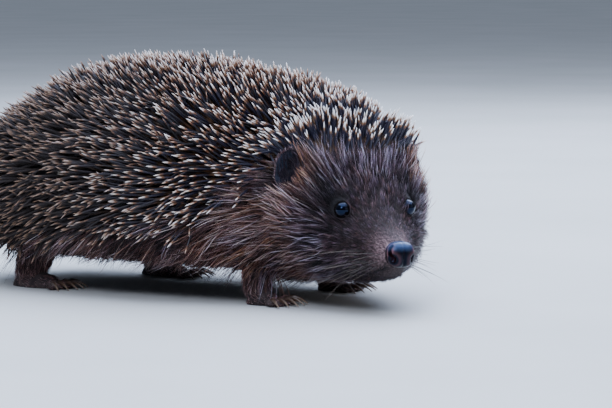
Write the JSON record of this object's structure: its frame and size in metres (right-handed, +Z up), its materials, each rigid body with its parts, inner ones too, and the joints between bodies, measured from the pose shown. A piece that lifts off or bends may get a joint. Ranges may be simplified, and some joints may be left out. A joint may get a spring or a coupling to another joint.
{
  "type": "hedgehog figure",
  "caption": "Life-size still model of a European hedgehog walking, head turned to its right, with banded spines, a dark furry face and a wet black nose.",
  "frame": {"origin": "middle of the model's box, on the floor that the four soles stand on", "axes": "-Y is the way the trunk faces, +Y towards the rump, +X the animal's left side, +Z up"},
  "size_m": [0.1248, 0.2596, 0.1026],
  "materials": {
    "coat": "coarse brown fur",
    "spines": "banded keratin spines, satin",
    "nose_skin": "wet",
    "eye": "gloss",
    "ear_skin": "soft, thinly haired",
    "foot_skin": "bare grained skin with horn claws"
  },
  "bodies": {
    "root": {"nose": "nose_skin", "head": "coat", "neck": "spines", "trunk": "spines", "tail": "coat", "eye_right": "eye", "eye_left": "eye", "ear_right": "ear_skin", "ear_left": "ear_skin", "foreleg_right": "coat", "foreleg_left": "coat", "hindleg_right": "coat", "hindleg_left": "coat", "forefoot_right": "foot_skin", "forefoot_left": "foot_skin", "hindfoot_right": "foot_skin", "hindfoot_left": "foot_skin"}
  },
  "joints": []
}
